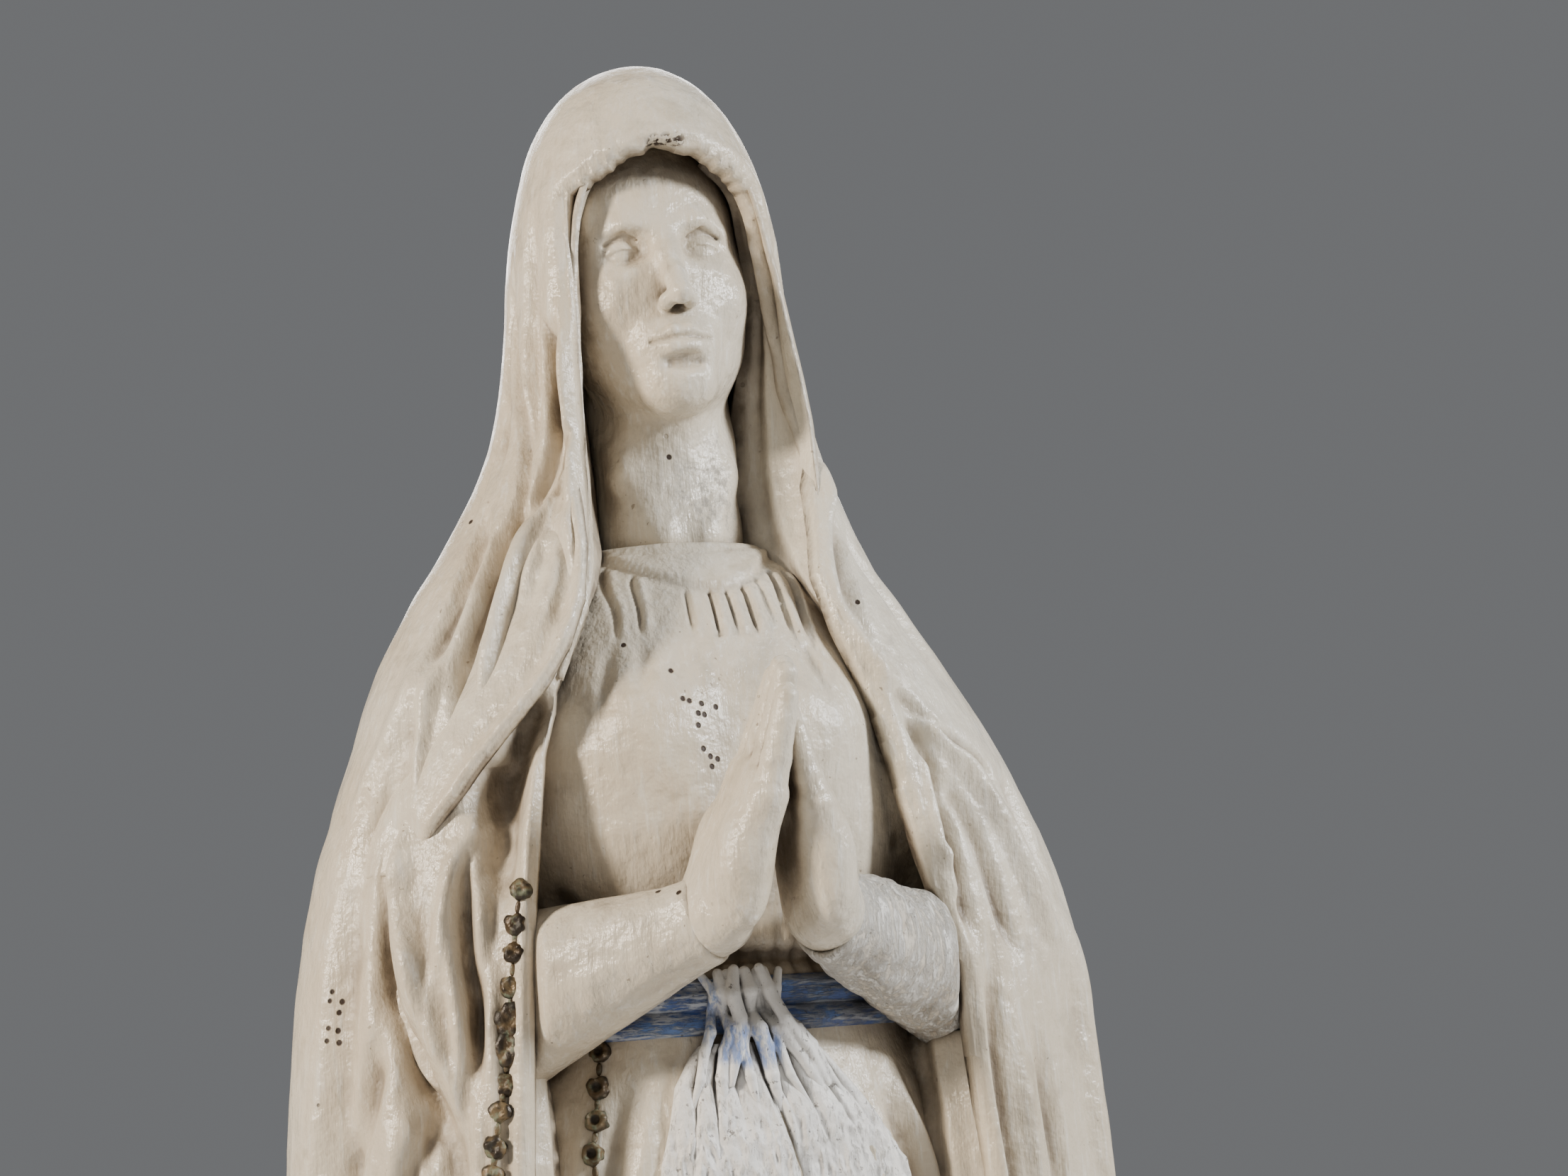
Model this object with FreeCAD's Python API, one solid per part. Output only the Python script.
"""Madonna statue, one metre tall, as a bench assembly of cast plaster pieces on an iron tie rod.

A standing, veiled woman prays with joined hands. Her veil and mantle are one hollow casting that hangs
over a second one, the robe. The head, forearms, hands and feet are cast apart and pinned in. A sash, a
rosary and two roses are applied to the surface. The figure stands on a rock mound screwed to an oval
plinth, and one tie rod pulls robe, mound and plinth together from below.

Millimetres. +Z is up, the statue faces -Y, and the origin is the centre of the face it stands on.
"""

import FreeCAD
import Part

import math
import os

V = FreeCAD.Vector

# Overall sizes
TOTAL_HEIGHT = 1000.0
PLINTH_WIDTH = 300.0
PLINTH_DEPTH = 270.0

# The stack from the ground up
PAD_THICKNESS = 3.0
PLINTH_THICKNESS = 22.0
MOUND_HEIGHT = 41.0
PLINTH_TOP = PAD_THICKNESS + PLINTH_THICKNESS
MOUND_TOP = PLINTH_TOP + MOUND_HEIGHT
COLLAR_TOP = 822.0
CHIN_HEIGHT = 866.0
WAIST_HEIGHT = 661.0

# Walls and clearances
MANTLE_WALL = 8.0
ROBE_WALL = 9.0
MOUND_WALL = 14.0
GLUE_LINE = 0.3
PIN_CLEARANCE = 0.15
SECTION_POINTS = 12
ROW_SPACING = 30.0
HEAD_SPACING = 12.0
DOME_START = 900.0

# Profiles, as rows of height, half width, depth in front of the axis and depth behind it
MANTLE_ROWS = [
    (MOUND_TOP + 0.5, 126.0, 98.0, 104.0),
    (200.0, 134.0, 93.0, 102.0),
    (350.0, 141.0, 88.0, 100.0),
    (500.0, 146.0, 84.0, 98.0),
    (620.0, 146.5, 82.0, 97.0),
    (680.0, 142.0, 80.0, 94.0),
    (731.0, 129.0, 76.0, 89.0),
    (770.0, 108.0, 71.0, 83.0),
    (805.0, 85.0, 64.0, 76.0),
    (832.0, 68.0, 57.0, 69.0),
    (860.0, 57.0, 53.0, 63.0),
    (900.0, 51.0, 53.0, 60.0),
    (935.0, 48.0, 54.0, 59.0),
    (960.0, 42.5, 51.0, 55.0),
    (978.0, 34.5, 43.0, 46.0),
    (991.0, 24.0, 30.0, 33.0),
    (998.0, 11.0, 14.0, 16.0),
    (TOTAL_HEIGHT, 3.0, 4.0, 4.0),
]
ROBE_ROWS = [
    (MOUND_TOP + 0.5, 112.0, 97.0, 94.0),
    (160.0, 111.0, 90.0, 92.0),
    (300.0, 107.0, 83.0, 91.0),
    (450.0, 103.0, 79.0, 88.0),
    (560.0, 96.0, 76.0, 86.0),
    (615.0, 87.0, 71.0, 80.0),
    (642.0, 78.0, 66.0, 72.0),
    (WAIST_HEIGHT, 73.0, 62.0, 68.0),
    (683.0, 76.0, 64.0, 69.0),
    (720.0, 84.0, 69.0, 71.0),
    (753.0, 85.0, 68.0, 70.0),
    (784.0, 75.0, 58.0, 65.0),
    (802.0, 60.0, 46.5, 56.0),
    (814.0, 44.0, 36.5, 45.0),
    (COLLAR_TOP, 33.0, 30.0, 34.0),
]
# The head and neck, as rows of height, depth of the centre, half width and half depth
HEAD_ROWS = [
    (CHIN_HEIGHT, -33.0, 9.0, 7.0),
    (CHIN_HEIGHT + 8.0, -27.0, 17.0, 15.0),
    (CHIN_HEIGHT + 21.0, -17.0, 25.0, 26.0),
    (CHIN_HEIGHT + 38.0, -7.0, 30.0, 37.0),
    (CHIN_HEIGHT + 58.0, -1.0, 33.5, 43.0),
    (CHIN_HEIGHT + 78.0, 1.0, 34.0, 43.5),
    (CHIN_HEIGHT + 94.0, 3.0, 30.0, 39.0),
    (CHIN_HEIGHT + 107.0, 4.0, 22.0, 29.0),
    (CHIN_HEIGHT + 115.0, 5.0, 10.0, 13.0),
]
NECK_RADIUS = 25.5
NECK_DEPTH = 2.0
NECK_LENGTH = 75.0
TENON_RADIUS = 17.0
TENON_LENGTH = 26.0

# The edge of the mantle seen from the front, from the right hem over the forehead to the left hem
MANTLE_EDGE = [
    (-66.0, 40.0), (-75.0, 260.0), (-78.0, 500.0), (-76.0, 630.0), (-71.0, 699.0), (-62.0, 760.0),
    (-47.0, 800.0), (-40.0, 832.0), (-38.0, 865.0), (-37.0, 900.0), (-36.0, 938.0), (-24.0, 955.0),
    (-8.0, 960.0), (8.0, 959.0), (22.0, 953.0), (33.0, 935.0), (38.5, 908.0), (44.0, 860.0),
    (42.0, 815.0), (46.0, 787.0), (56.0, 757.0), (66.0, 707.0), (76.0, 668.0), (78.0, 620.0),
    (80.0, 500.0), (78.0, 240.0), (68.0, 40.0),
]

# Arms and hands
ELBOW = V(100.0, -24.0, 658.0)
WRIST = V(20.0, -93.0, 689.0)
FINGERTIP = V(4.0, -122.0, 768.0)
SLEEVE_CLEAR = 63.0
LEFT_SLEEVE = [(0.0, 26.0, 25.0), (0.35, 24.0, 22.0), (0.7, 20.5, 18.0), (1.0, 17.0, 14.0)]
RIGHT_SLEEVE = [(0.0, 33.0, 27.0), (0.35, 28.0, 23.5), (0.7, 20.0, 18.0), (1.0, 15.0, 13.5)]
HAND_STATIONS = [
    (-0.2, 10.0, 8.0), (0.0, 11.5, 8.0), (0.25, 16.5, 7.5), (0.48, 17.5, 6.5), (0.72, 15.0, 5.5),
    (0.9, 10.5, 4.8), (1.0, 5.0, 3.2),
]

# Sash, rosary, feet and roses
SASH_HALF_HEIGHT = 12.0
SASH_PROUD = 4.0
KNOT_SIZE = (14.0, 9.0, 17.0)
TAIL_TOP = WAIST_HEIGHT - SASH_HALF_HEIGHT - GLUE_LINE
LEFT_TAIL = [(1.0, TAIL_TOP), (14.0, TAIL_TOP), (52.0, 606.0), (58.0, 560.0), (56.0, 352.0), (16.0, 330.0),
             (12.0, 606.0)]
RIGHT_TAIL = [(0.4, TAIL_TOP), (-14.0, TAIL_TOP), (-35.0, 611.0), (-40.0, 560.0), (-38.0, 330.0),
              (15.0, 312.0), (11.4, 606.0)]
BEAD_RADIUS = 4.0
PATER_RADIUS = 5.2
CROSS_X = -60.0
CROSS_HEIGHT = 392.0
MEDAL_HEIGHT = 440.0
FOOT_SPREAD = 30.0
ROSE_RADIUS = 13.0

# Fasteners
ROD_RADIUS = 4.0
ROD_BOTTOM = 6.0
BATTEN_HEIGHT = 726.0
BATTEN_THICKNESS = 20.0
WASHER_RADIUS = 12.0
WASHER_THICKNESS = 2.0
NUT_FLATS = 13.0
NUT_HEIGHT = 6.5
PIN_RADIUS = 3.0
WRIST_PIN_RADIUS = 2.0
SCREW_RADIUS = 2.2
SCREW_HEAD_RADIUS = 4.5
SCREW_PLACES = [(sx * 82.0, sy * 62.0) for sx in (-1, 1) for sy in (-1, 1)]


def closed_spline(points):
    """A closed smooth wire through the points."""
    curve = Part.BSplineCurve()
    curve.interpolate(points, PeriodicFlag=True)
    return Part.Wire(curve.toShape())


def oval(z, half_width, front, back, centre_y=0.0):
    """A closed oval wire at height z, with its own depth in front of and behind its centre."""
    points = []
    for k in range(SECTION_POINTS):
        angle = 2 * math.pi * k / SECTION_POINTS
        depth = back if math.sin(angle) > 0 else front
        points.append(V(half_width * math.cos(angle), centre_y + depth * math.sin(angle), z))
    return closed_spline(points)


def even_rows(rows, spacing=ROW_SPACING):
    """The same profile, faired, as rows that are evenly spaced along it."""
    lengths = [0.0]
    for low, high in zip(rows, rows[1:]):
        lengths.append(lengths[-1] + math.dist(low, high))
    curves = []
    for column in (2, 3):
        curve = Part.BSplineCurve()
        curve.interpolate(Points=[V(row[0], row[1], row[column]) for row in rows], Parameters=lengths)
        curves.append(curve)
    count = round(lengths[-1] / spacing)
    spaced = []
    for k in range(count + 1):
        first, second = [curve.value(lengths[-1] * k / count) for curve in curves]
        spaced.append((first.x, first.y, first.z, second.z))
    return spaced


def loft(rows, grow=0.0):
    """A solid through oval rows, each widened by grow."""
    wires = [oval(z, half_width + grow, front + grow, back + grow) for z, half_width, front, back in rows]
    return Part.makeLoft(wires, True, False)


def profile_at(fine_rows, z):
    """Half width, front depth and back depth of a finely spaced profile at a height."""
    for low, high in zip(fine_rows, fine_rows[1:]):
        if low[0] <= z <= high[0]:
            share = (z - low[0]) / (high[0] - low[0])
            return [a + (b - a) * share for a, b in zip(low[1:], high[1:])]
    return list(fine_rows[-1][1:])


def band(fine_rows, low, high, grow, count=6):
    """A solid through the part of a profile between two heights, widened by grow."""
    heights = [low + (high - low) * k / count for k in range(count + 1)]
    return loft([(z, *profile_at(fine_rows, z)) for z in heights], grow)


def outline_prism(points, near, far):
    """A prism of a straight-sided outline drawn in XZ, from y = near to y = far."""
    face = Part.Face(Part.makePolygon([V(x, near, z) for x, z in points + points[:1]]))
    return face.extrude(V(0, far - near, 0))


def surface_point(fine_rows, x, z):
    """The front-most point of a profile's surface at x and z."""
    half_width, front, _ = profile_at(fine_rows, z)
    return V(x, -front * math.sqrt(1.0 - (x / half_width) ** 2), z)


def surface_frame(fine_rows, x, z):
    """The front-most point of a surface at x and z, and the direction that points away from it."""
    reach = 3.0
    sideways = surface_point(fine_rows, x + reach, z) - surface_point(fine_rows, x - reach, z)
    upward = surface_point(fine_rows, x, z + reach) - surface_point(fine_rows, x, z - reach)
    outward = sideways.cross(upward)
    outward.normalize()
    return surface_point(fine_rows, x, z), outward


def dome(fine_rows, x, z, radius):
    """Half a ball, bedded flat on a surface."""
    point, outward = surface_frame(fine_rows, x, z)
    return Part.makeSphere(radius, point + outward * GLUE_LINE, outward, 0, 90, 360)


def tube(start, end, stations, up):
    """A solid of oval sections between two points. A station is a share of the way, and two half sizes.

    The first half size lies along up, as far as the path lets it, and the second across it.
    """
    along = (end - start)
    length = along.Length
    along.normalize()
    across = along.cross(up)
    across.normalize()
    upward = across.cross(along)
    wires = []
    for share, tall, wide in stations:
        centre = start + along * (length * share)
        ring = []
        for k in range(SECTION_POINTS):
            angle = 2 * math.pi * k / SECTION_POINTS
            ring.append(centre + upward * (tall * math.cos(angle)) + across * (wide * math.sin(angle)))
        wires.append(closed_spline(ring))
    return Part.makeLoft(wires, True, False)


def ellipsoid(centre, sizes):
    """A ball stretched to three half sizes."""
    ball = Part.makeSphere(1.0)
    stretch = FreeCAD.Matrix()
    stretch.scale(V(*sizes))
    ball = ball.transformGeometry(stretch)
    ball.translate(centre)
    return ball


def rod(start, end, radius):
    """A round bar between two points."""
    return Part.makeCylinder(radius, (end - start).Length, start, end - start)


def hex_nut(z):
    """A hexagon nut on the tie rod, with its lower face at z."""
    corner = NUT_FLATS / math.sqrt(3)
    points = [V(corner * math.cos(math.radians(60 * k)), corner * math.sin(math.radians(60 * k)), z)
              for k in range(7)]
    block = Part.Face(Part.makePolygon(points)).extrude(V(0, 0, NUT_HEIGHT))
    return block.cut(Part.makeCylinder(ROD_RADIUS + PIN_CLEARANCE, NUT_HEIGHT, V(0, 0, z)))


def washer(z):
    """A flat washer on the tie rod, with its lower face at z."""
    disc = Part.makeCylinder(WASHER_RADIUS, WASHER_THICKNESS, V(0, 0, z))
    return disc.cut(Part.makeCylinder(ROD_RADIUS + PIN_CLEARANCE, WASHER_THICKNESS, V(0, 0, z)))


def mirrored(shape):
    """The same piece for the other side of the body."""
    return shape.mirror(V(0, 0, 0), V(1, 0, 0))


def make_mantle():
    """The veil and mantle: a hollow shell open at the front, closed over the crown."""
    rows = even_rows(MANTLE_ROWS)
    inner_rows = []
    for z, half_width, front, back in even_rows(MANTLE_ROWS[:-1]):
        sink = MANTLE_WALL * min(1.0, max(0.0, (z - DOME_START) / (TOTAL_HEIGHT - DOME_START)))
        inner_rows.append((z - sink, half_width, front, back))
    inner_rows[0] = (MOUND_TOP - 5.0,) + inner_rows[0][1:]
    edge = Part.BSplineCurve()
    edge.interpolate([V(x, -200.0, z) for x, z in MANTLE_EDGE])
    hem_line = Part.makeLine(edge.EndPoint, edge.StartPoint)
    window = Part.Face(Part.Wire([edge.toShape(), hem_line])).extrude(V(0, 198.0, 0))
    return loft(rows).cut(loft(inner_rows, -MANTLE_WALL)).cut(window)


def make_robe(cutters):
    """The robe: a hollow casting with a socket for the neck."""
    cavity_rows = even_rows([row for row in ROBE_ROWS if row[0] < 790.0])
    cavity_rows[0] = (MOUND_TOP - 5.0,) + cavity_rows[0][1:]
    socket = Part.makeCylinder(TENON_RADIUS + GLUE_LINE, TENON_LENGTH + GLUE_LINE + 1.0,
                               V(0, NECK_DEPTH, COLLAR_TOP - TENON_LENGTH - GLUE_LINE))
    return loft(even_rows(ROBE_ROWS)).cut(loft(cavity_rows, -ROBE_WALL)).cut([socket] + cutters)


def make_head():
    """Head and neck in one casting, with a tenon that sits in the robe's collar."""
    wires = [oval(z, half_width, half_depth, half_depth, centre_y)
             for z, centre_y, half_width, half_depth in even_rows(HEAD_ROWS, HEAD_SPACING)]
    skull = Part.makeLoft(wires, True, False)
    neck = Part.makeCylinder(NECK_RADIUS, NECK_LENGTH, V(0, NECK_DEPTH, COLLAR_TOP + GLUE_LINE))
    tenon_base = V(0, NECK_DEPTH, COLLAR_TOP - TENON_LENGTH)
    tenon = Part.makeCylinder(TENON_RADIUS, TENON_LENGTH + GLUE_LINE, tenon_base)
    nose = Part.makeCone(6.0, 2.5, 25.0, V(0, -43.0, CHIN_HEIGHT + 30.0))
    return skull.fuse([neck, tenon, nose])


def make_sleeve(stations):
    """A left sleeve and forearm, from the elbow to the cuff."""
    return tube(ELBOW, WRIST, stations, V(0, 0, 1))


def make_hand():
    """The left hand, fingers together and pointing up, with its thumb towards the chest."""
    palm = tube(WRIST, FINGERTIP, HAND_STATIONS, V(0, 1, 0))
    thumb = tube(WRIST + V(-1.0, 9.0, 12.0), WRIST + V(-5.0, 16.0, 47.0),
                 [(0.0, 6.0, 5.0), (0.5, 5.5, 4.8), (0.85, 4.6, 4.0), (1.0, 2.5, 2.2)], V(0, 1, 0))
    return palm.fuse(thumb)


def make_foot(hem):
    """The left foot, from the hem to the toes."""
    heel = V(FOOT_SPREAD, -62.0, MOUND_TOP + 15.0)
    toe = V(FOOT_SPREAD + 5.0, -126.0, MOUND_TOP + 7.0)
    foot = tube(heel, toe, [(0.0, 15.0, 14.0), (0.4, 14.0, 15.5), (0.75, 9.0, 16.5), (0.93, 7.0, 14.0),
                            (1.0, 4.0, 8.0)], V(0, 0, 1))
    under = Part.makeBox(200.0, 200.0, 60.0, V(-60.0, -200.0, MOUND_TOP + GLUE_LINE - 60.0))
    return foot.cut([under, hem])


def make_sash(fine_robe):
    """The band of the sash, round the waist."""
    low, high = WAIST_HEIGHT - SASH_HALF_HEIGHT, WAIST_HEIGHT + SASH_HALF_HEIGHT
    outer = band(fine_robe, low, high, SASH_PROUD)
    return outer.cut(band(fine_robe, low - 5.0, high + 5.0, GLUE_LINE))


def make_tails(fine_robe):
    """The two tails of the sash: broad ribbons that follow the front of the robe."""
    skin = band(fine_robe, 300.0, TAIL_TOP + 1.0, SASH_PROUD, 14)
    skin = skin.cut(band(fine_robe, 298.0, TAIL_TOP + 3.0, GLUE_LINE, 14))
    return [skin.common(outline_prism(outline, -160.0, -20.0)) for outline in (LEFT_TAIL, RIGHT_TAIL)]


def make_knot(chest):
    """The knot of the sash, where band and tails meet."""
    return ellipsoid(V(-3.0, -(62.0 + SASH_PROUD + 2.0), WAIST_HEIGHT - 1.0), KNOT_SIZE).cut(chest)


def bead_places():
    """Places of the rosary's beads: down the mantle's border, and up the robe to the sash."""
    outer = [(-75.0 - 13.0 * min(1.0, (701.0 - z) / 86.0), float(z)) for z in range(701, 470, -11)]
    inner = [(-48.0 - 6.0 * min(1.0, (649.0 - z) / 36.0), float(z)) for z in range(649, 470, -11)]
    return outer, inner


def make_beads(fine_mantle, fine_robe):
    """All small beads and all large beads, as two lists of domes that sit on the surface."""
    small, large = [], []
    for surface, places in zip((fine_mantle, fine_robe), bead_places()):
        for index, (x, z) in enumerate(places):
            big = index % 11 == 5
            bead = dome(surface, x, z, PATER_RADIUS if big else BEAD_RADIUS)
            (large if big else small).append(bead)
    return small, large


def make_cross(fine_robe):
    """The rosary's cross, flat on the robe."""
    point, outward = surface_frame(fine_robe, CROSS_X, CROSS_HEIGHT)
    low = point + outward * (GLUE_LINE + 0.5)
    upright = Part.makeBox(7.0, 3.6, 46.0, V(-3.5, -3.6, -30.0))
    bar = Part.makeBox(28.0, 3.6, 7.0, V(-14.0, -3.6, -3.5))
    cross = upright.fuse(bar).removeSplitter()
    turn = FreeCAD.Rotation(V(0, -1, 0), outward)
    cross.Placement = FreeCAD.Placement(low, turn)
    return cross


def make_medal(fine_robe):
    """The medal where the strands of the rosary meet."""
    return dome(fine_robe, CROSS_X, MEDAL_HEIGHT, 7.0)


def make_mound(cutters):
    """The rock mound: a hollow casting, flat on top where robe and mantle stand."""
    def ring(z, width, depth, rough):
        points = []
        for k in range(SECTION_POINTS):
            angle = 2 * math.pi * k / SECTION_POINTS
            swell = 1.0 + rough * math.sin(3 * angle + z) + rough * 0.8 * math.sin(5 * angle + 2.1)
            points.append(V(width * swell * math.cos(angle), depth * swell * math.sin(angle), z))
        return closed_spline(points)

    wires = [ring(PLINTH_TOP, 143.0, 127.0, 0.012), ring(PLINTH_TOP + 15.0, 140.0, 125.0, 0.02),
             ring(PLINTH_TOP + 30.0, 138.0, 124.0, 0.016), ring(MOUND_TOP, 133.0, 122.0, 0.014)]
    block = Part.makeLoft(wires, True, False)
    hollow = loft([(PLINTH_TOP - 10.0, 123.0, 107.0, 107.0), (MOUND_TOP - MOUND_WALL, 114.0, 98.0, 98.0)])
    return block.cut([hollow] + cutters)


def make_plinth(cutters):
    """The oval wooden plinth, with a counterbore for the tie rod's nut."""
    edge = 4.0
    width, depth = PLINTH_WIDTH / 2, PLINTH_DEPTH / 2
    rows = [(PAD_THICKNESS, width, depth, depth), (PLINTH_TOP - edge, width, depth, depth)]
    top_rows = [rows[1], (PLINTH_TOP, width - edge, depth - edge, depth - edge)]
    board = loft(rows).fuse(loft(top_rows)).removeSplitter()
    return board.cut(cutters)


def make_screw(x, y):
    """A countersunk wood screw, driven up from the plinth's underside."""
    head_bottom = PAD_THICKNESS + 1.0
    head = Part.makeCone(SCREW_HEAD_RADIUS, SCREW_RADIUS, 3.0, V(x, y, head_bottom))
    shank = Part.makeCylinder(SCREW_RADIUS, 32.0, V(x, y, head_bottom + 3.0))
    tip = Part.makeCone(SCREW_RADIUS, 0.4, 5.0, V(x, y, head_bottom + 35.0))
    slot = Part.makeBox(2 * SCREW_HEAD_RADIUS, 1.0, 1.2, V(x - SCREW_HEAD_RADIUS, y - 0.5, head_bottom))
    return head.fuse([shank, tip]).cut(slot)


def main():
    """Builds every piece and writes one STEP file for each node."""
    up = V(0, 0, 1)
    parts = {}

    # Pins, and the holes that they are bedded in
    arm_direction = (WRIST - ELBOW).normalize()
    pin_start, pin_end = V(54.0, -31.0, 660.0), V(88.0, -34.0, 662.0)
    pin_direction = (pin_end - pin_start).normalize()
    elbow_pin = rod(pin_start, pin_end, PIN_RADIUS)
    elbow_hole = rod(pin_start - pin_direction, pin_end + pin_direction, PIN_RADIUS + PIN_CLEARANCE)
    hand_direction = (FINGERTIP - WRIST).normalize()
    wrist_pin = rod(WRIST - arm_direction * 22.0, WRIST + arm_direction * 0.5, WRIST_PIN_RADIUS)
    wrist_pin = wrist_pin.fuse(rod(WRIST, WRIST + hand_direction * 24.0, WRIST_PIN_RADIUS))
    wrist_pin = wrist_pin.fuse(Part.makeSphere(WRIST_PIN_RADIUS, WRIST))
    wrist_hole = rod(WRIST - arm_direction * 22.5, WRIST, WRIST_PIN_RADIUS + PIN_CLEARANCE)
    hole_radius = WRIST_PIN_RADIUS + PIN_CLEARANCE
    wrist_hole = wrist_hole.fuse([rod(WRIST, WRIST + hand_direction * 24.5, hole_radius),
                                  Part.makeSphere(hole_radius, WRIST)])
    ankle = V(FOOT_SPREAD + 1.0, -85.0, MOUND_TOP)
    foot_pin = rod(ankle - up * 12.0, ankle + up * 12.0, PIN_RADIUS)
    foot_hole = rod(ankle - up * 12.5, ankle + up * 12.5, PIN_RADIUS + PIN_CLEARANCE)
    neck_base = V(0, NECK_DEPTH, COLLAR_TOP - TENON_LENGTH - 12.0)
    neck_pin = rod(neck_base, neck_base + up * 42.0, PIN_RADIUS)
    neck_hole = rod(neck_base - up * 0.5, neck_base + up * 42.5, PIN_RADIUS + PIN_CLEARANCE)

    # Castings
    fine_mantle = even_rows(MANTLE_ROWS, 2.0)
    fine_robe = even_rows(ROBE_ROWS, 2.0)
    chest = band(fine_robe, 620.0, 760.0, GLUE_LINE)
    hem = band(fine_robe, MOUND_TOP + 0.5, MOUND_TOP + 60.0, GLUE_LINE).fuse(
        loft([(MOUND_TOP - 5.0, 112.3, 97.3, 94.3), (MOUND_TOP + 0.5, 112.3, 97.3, 94.3)]))
    hand = make_hand()
    foot = make_foot(hem).cut(foot_hole)
    knot = make_knot(chest)
    within = band(fine_mantle, 598.0, 762.0, -MANTLE_WALL - GLUE_LINE)
    outside = band(fine_mantle, 600.0, 760.0, 60.0).cut(within)
    outside = outside.common(Part.makeBox(200.0, 400.0, 200.0, V(SLEEVE_CLEAR, -200.0, 580.0)))
    dressed_chest = band(fine_robe, 610.0, 760.0, SASH_PROUD + GLUE_LINE, 8)
    under_sleeve = [dressed_chest, outside, elbow_hole, wrist_hole, hand]
    left_sleeve = make_sleeve(LEFT_SLEEVE).cut(under_sleeve)
    right_sleeve = mirrored(make_sleeve(RIGHT_SLEEVE).cut(under_sleeve))
    hand = hand.cut(wrist_hole)
    parts["veil_and_mantle"] = make_mantle()
    parts["robe"] = make_robe([elbow_hole, mirrored(elbow_hole), neck_hole])
    parts["head_and_neck"] = make_head().cut(neck_hole)
    parts["left_forearm"], parts["right_forearm"] = left_sleeve, right_sleeve
    for side, turned in (("left", False), ("right", True)):
        for name, shape in (("hand", hand), ("foot", foot), ("elbow_pin", elbow_pin),
                            ("wrist_pin", wrist_pin), ("foot_pin", foot_pin)):
            parts[f"{side}_{name}"] = mirrored(shape) if turned else shape
    tails = make_tails(fine_robe)
    parts["left_sash_tail"], parts["right_sash_tail"] = [tail.cut(knot) for tail in tails]
    parts["sash_band"] = make_sash(fine_robe).cut(knot)
    parts["sash_knot"] = knot
    parts["neck_pin"] = neck_pin

    # Rosary and roses
    small, large = make_beads(fine_mantle, fine_robe)
    parts["rosary_small_beads"] = Part.makeCompound(small)
    parts["rosary_large_beads"] = Part.makeCompound(large)
    parts["rosary_medal"] = make_medal(fine_robe)
    parts["rosary_cross"] = make_cross(fine_robe)
    for side, sign in (("left", 1), ("right", -1)):
        place = V(sign * (FOOT_SPREAD + 3.0), -108.0, MOUND_TOP + 19.0)
        rose = ellipsoid(place, (ROSE_RADIUS, ROSE_RADIUS, 8.0))
        parts[f"{side}_rose"] = rose.cut([hem, parts[f"{side}_foot"]])

    # Base, tie rod and fasteners
    rod_top = BATTEN_HEIGHT + BATTEN_THICKNESS + WASHER_THICKNESS + NUT_HEIGHT + 6.0
    rod_hole = Part.makeCylinder(ROD_RADIUS + 0.3, 900.0, V(0, 0, -10.0))
    counterbore = Part.makeCylinder(WASHER_RADIUS + 2.0, 12.0, V(0, 0, PAD_THICKNESS - 1.0))
    screws = [make_screw(x, y) for x, y in SCREW_PLACES]
    foot_holes = [foot_hole, mirrored(foot_hole)]
    parts["rock_mound"] = make_mound([rod_hole] + foot_holes)
    countersinks = [Part.makeCylinder(SCREW_HEAD_RADIUS + 0.5, 5.0, V(x, y, PAD_THICKNESS - 1.0))
                    for x, y in SCREW_PLACES]
    parts["plinth"] = make_plinth([rod_hole, counterbore] + countersinks + screws)
    block_size = 34.0
    blocks = [Part.makeBox(block_size, block_size, 24.0,
                           V(x - block_size / 2, y - block_size / 2, PLINTH_TOP))
              for x, y in SCREW_PLACES]
    parts["screw_blocks"] = Part.makeCompound([b.cut(s) for b, s in zip(blocks, screws)])
    parts["base_screws"] = Part.makeCompound(screws)
    felt_rows = [(z, PLINTH_WIDTH / 2 - 5.0, PLINTH_DEPTH / 2 - 5.0, PLINTH_DEPTH / 2 - 5.0)
                 for z in (0.0, PAD_THICKNESS)]
    parts["base_felt"] = loft(felt_rows)
    parts["tie_rod"] = rod(V(0, 0, ROD_BOTTOM), V(0, 0, rod_top), ROD_RADIUS)
    seat = PAD_THICKNESS + 11.0
    parts["lower_washer"] = washer(seat - WASHER_THICKNESS)
    parts["lower_nut"] = hex_nut(seat - WASHER_THICKNESS - NUT_HEIGHT)
    batten = Part.makeBox(142.0, 30.0, BATTEN_THICKNESS, V(-71.0, -15.0, BATTEN_HEIGHT)).cut(rod_hole)
    parts["shoulder_batten"] = batten
    parts["upper_washer"] = washer(BATTEN_HEIGHT + BATTEN_THICKNESS)
    parts["upper_nut"] = hex_nut(BATTEN_HEIGHT + BATTEN_THICKNESS + WASHER_THICKNESS)

    os.makedirs("parts", exist_ok=True)
    for name, shape in parts.items():
        kept = [s for s in shape.Solids if s.Volume > 1.0]
        volume = sum(s.Volume for s in kept) / 1000
        print(f"{name}: {len(kept)} solids, {volume:.1f} cm3, valid {shape.isValid()}")
        whole = kept[0] if len(kept) == 1 else Part.makeCompound(kept)
        whole.exportStep(f"parts/{name}.step")


main()
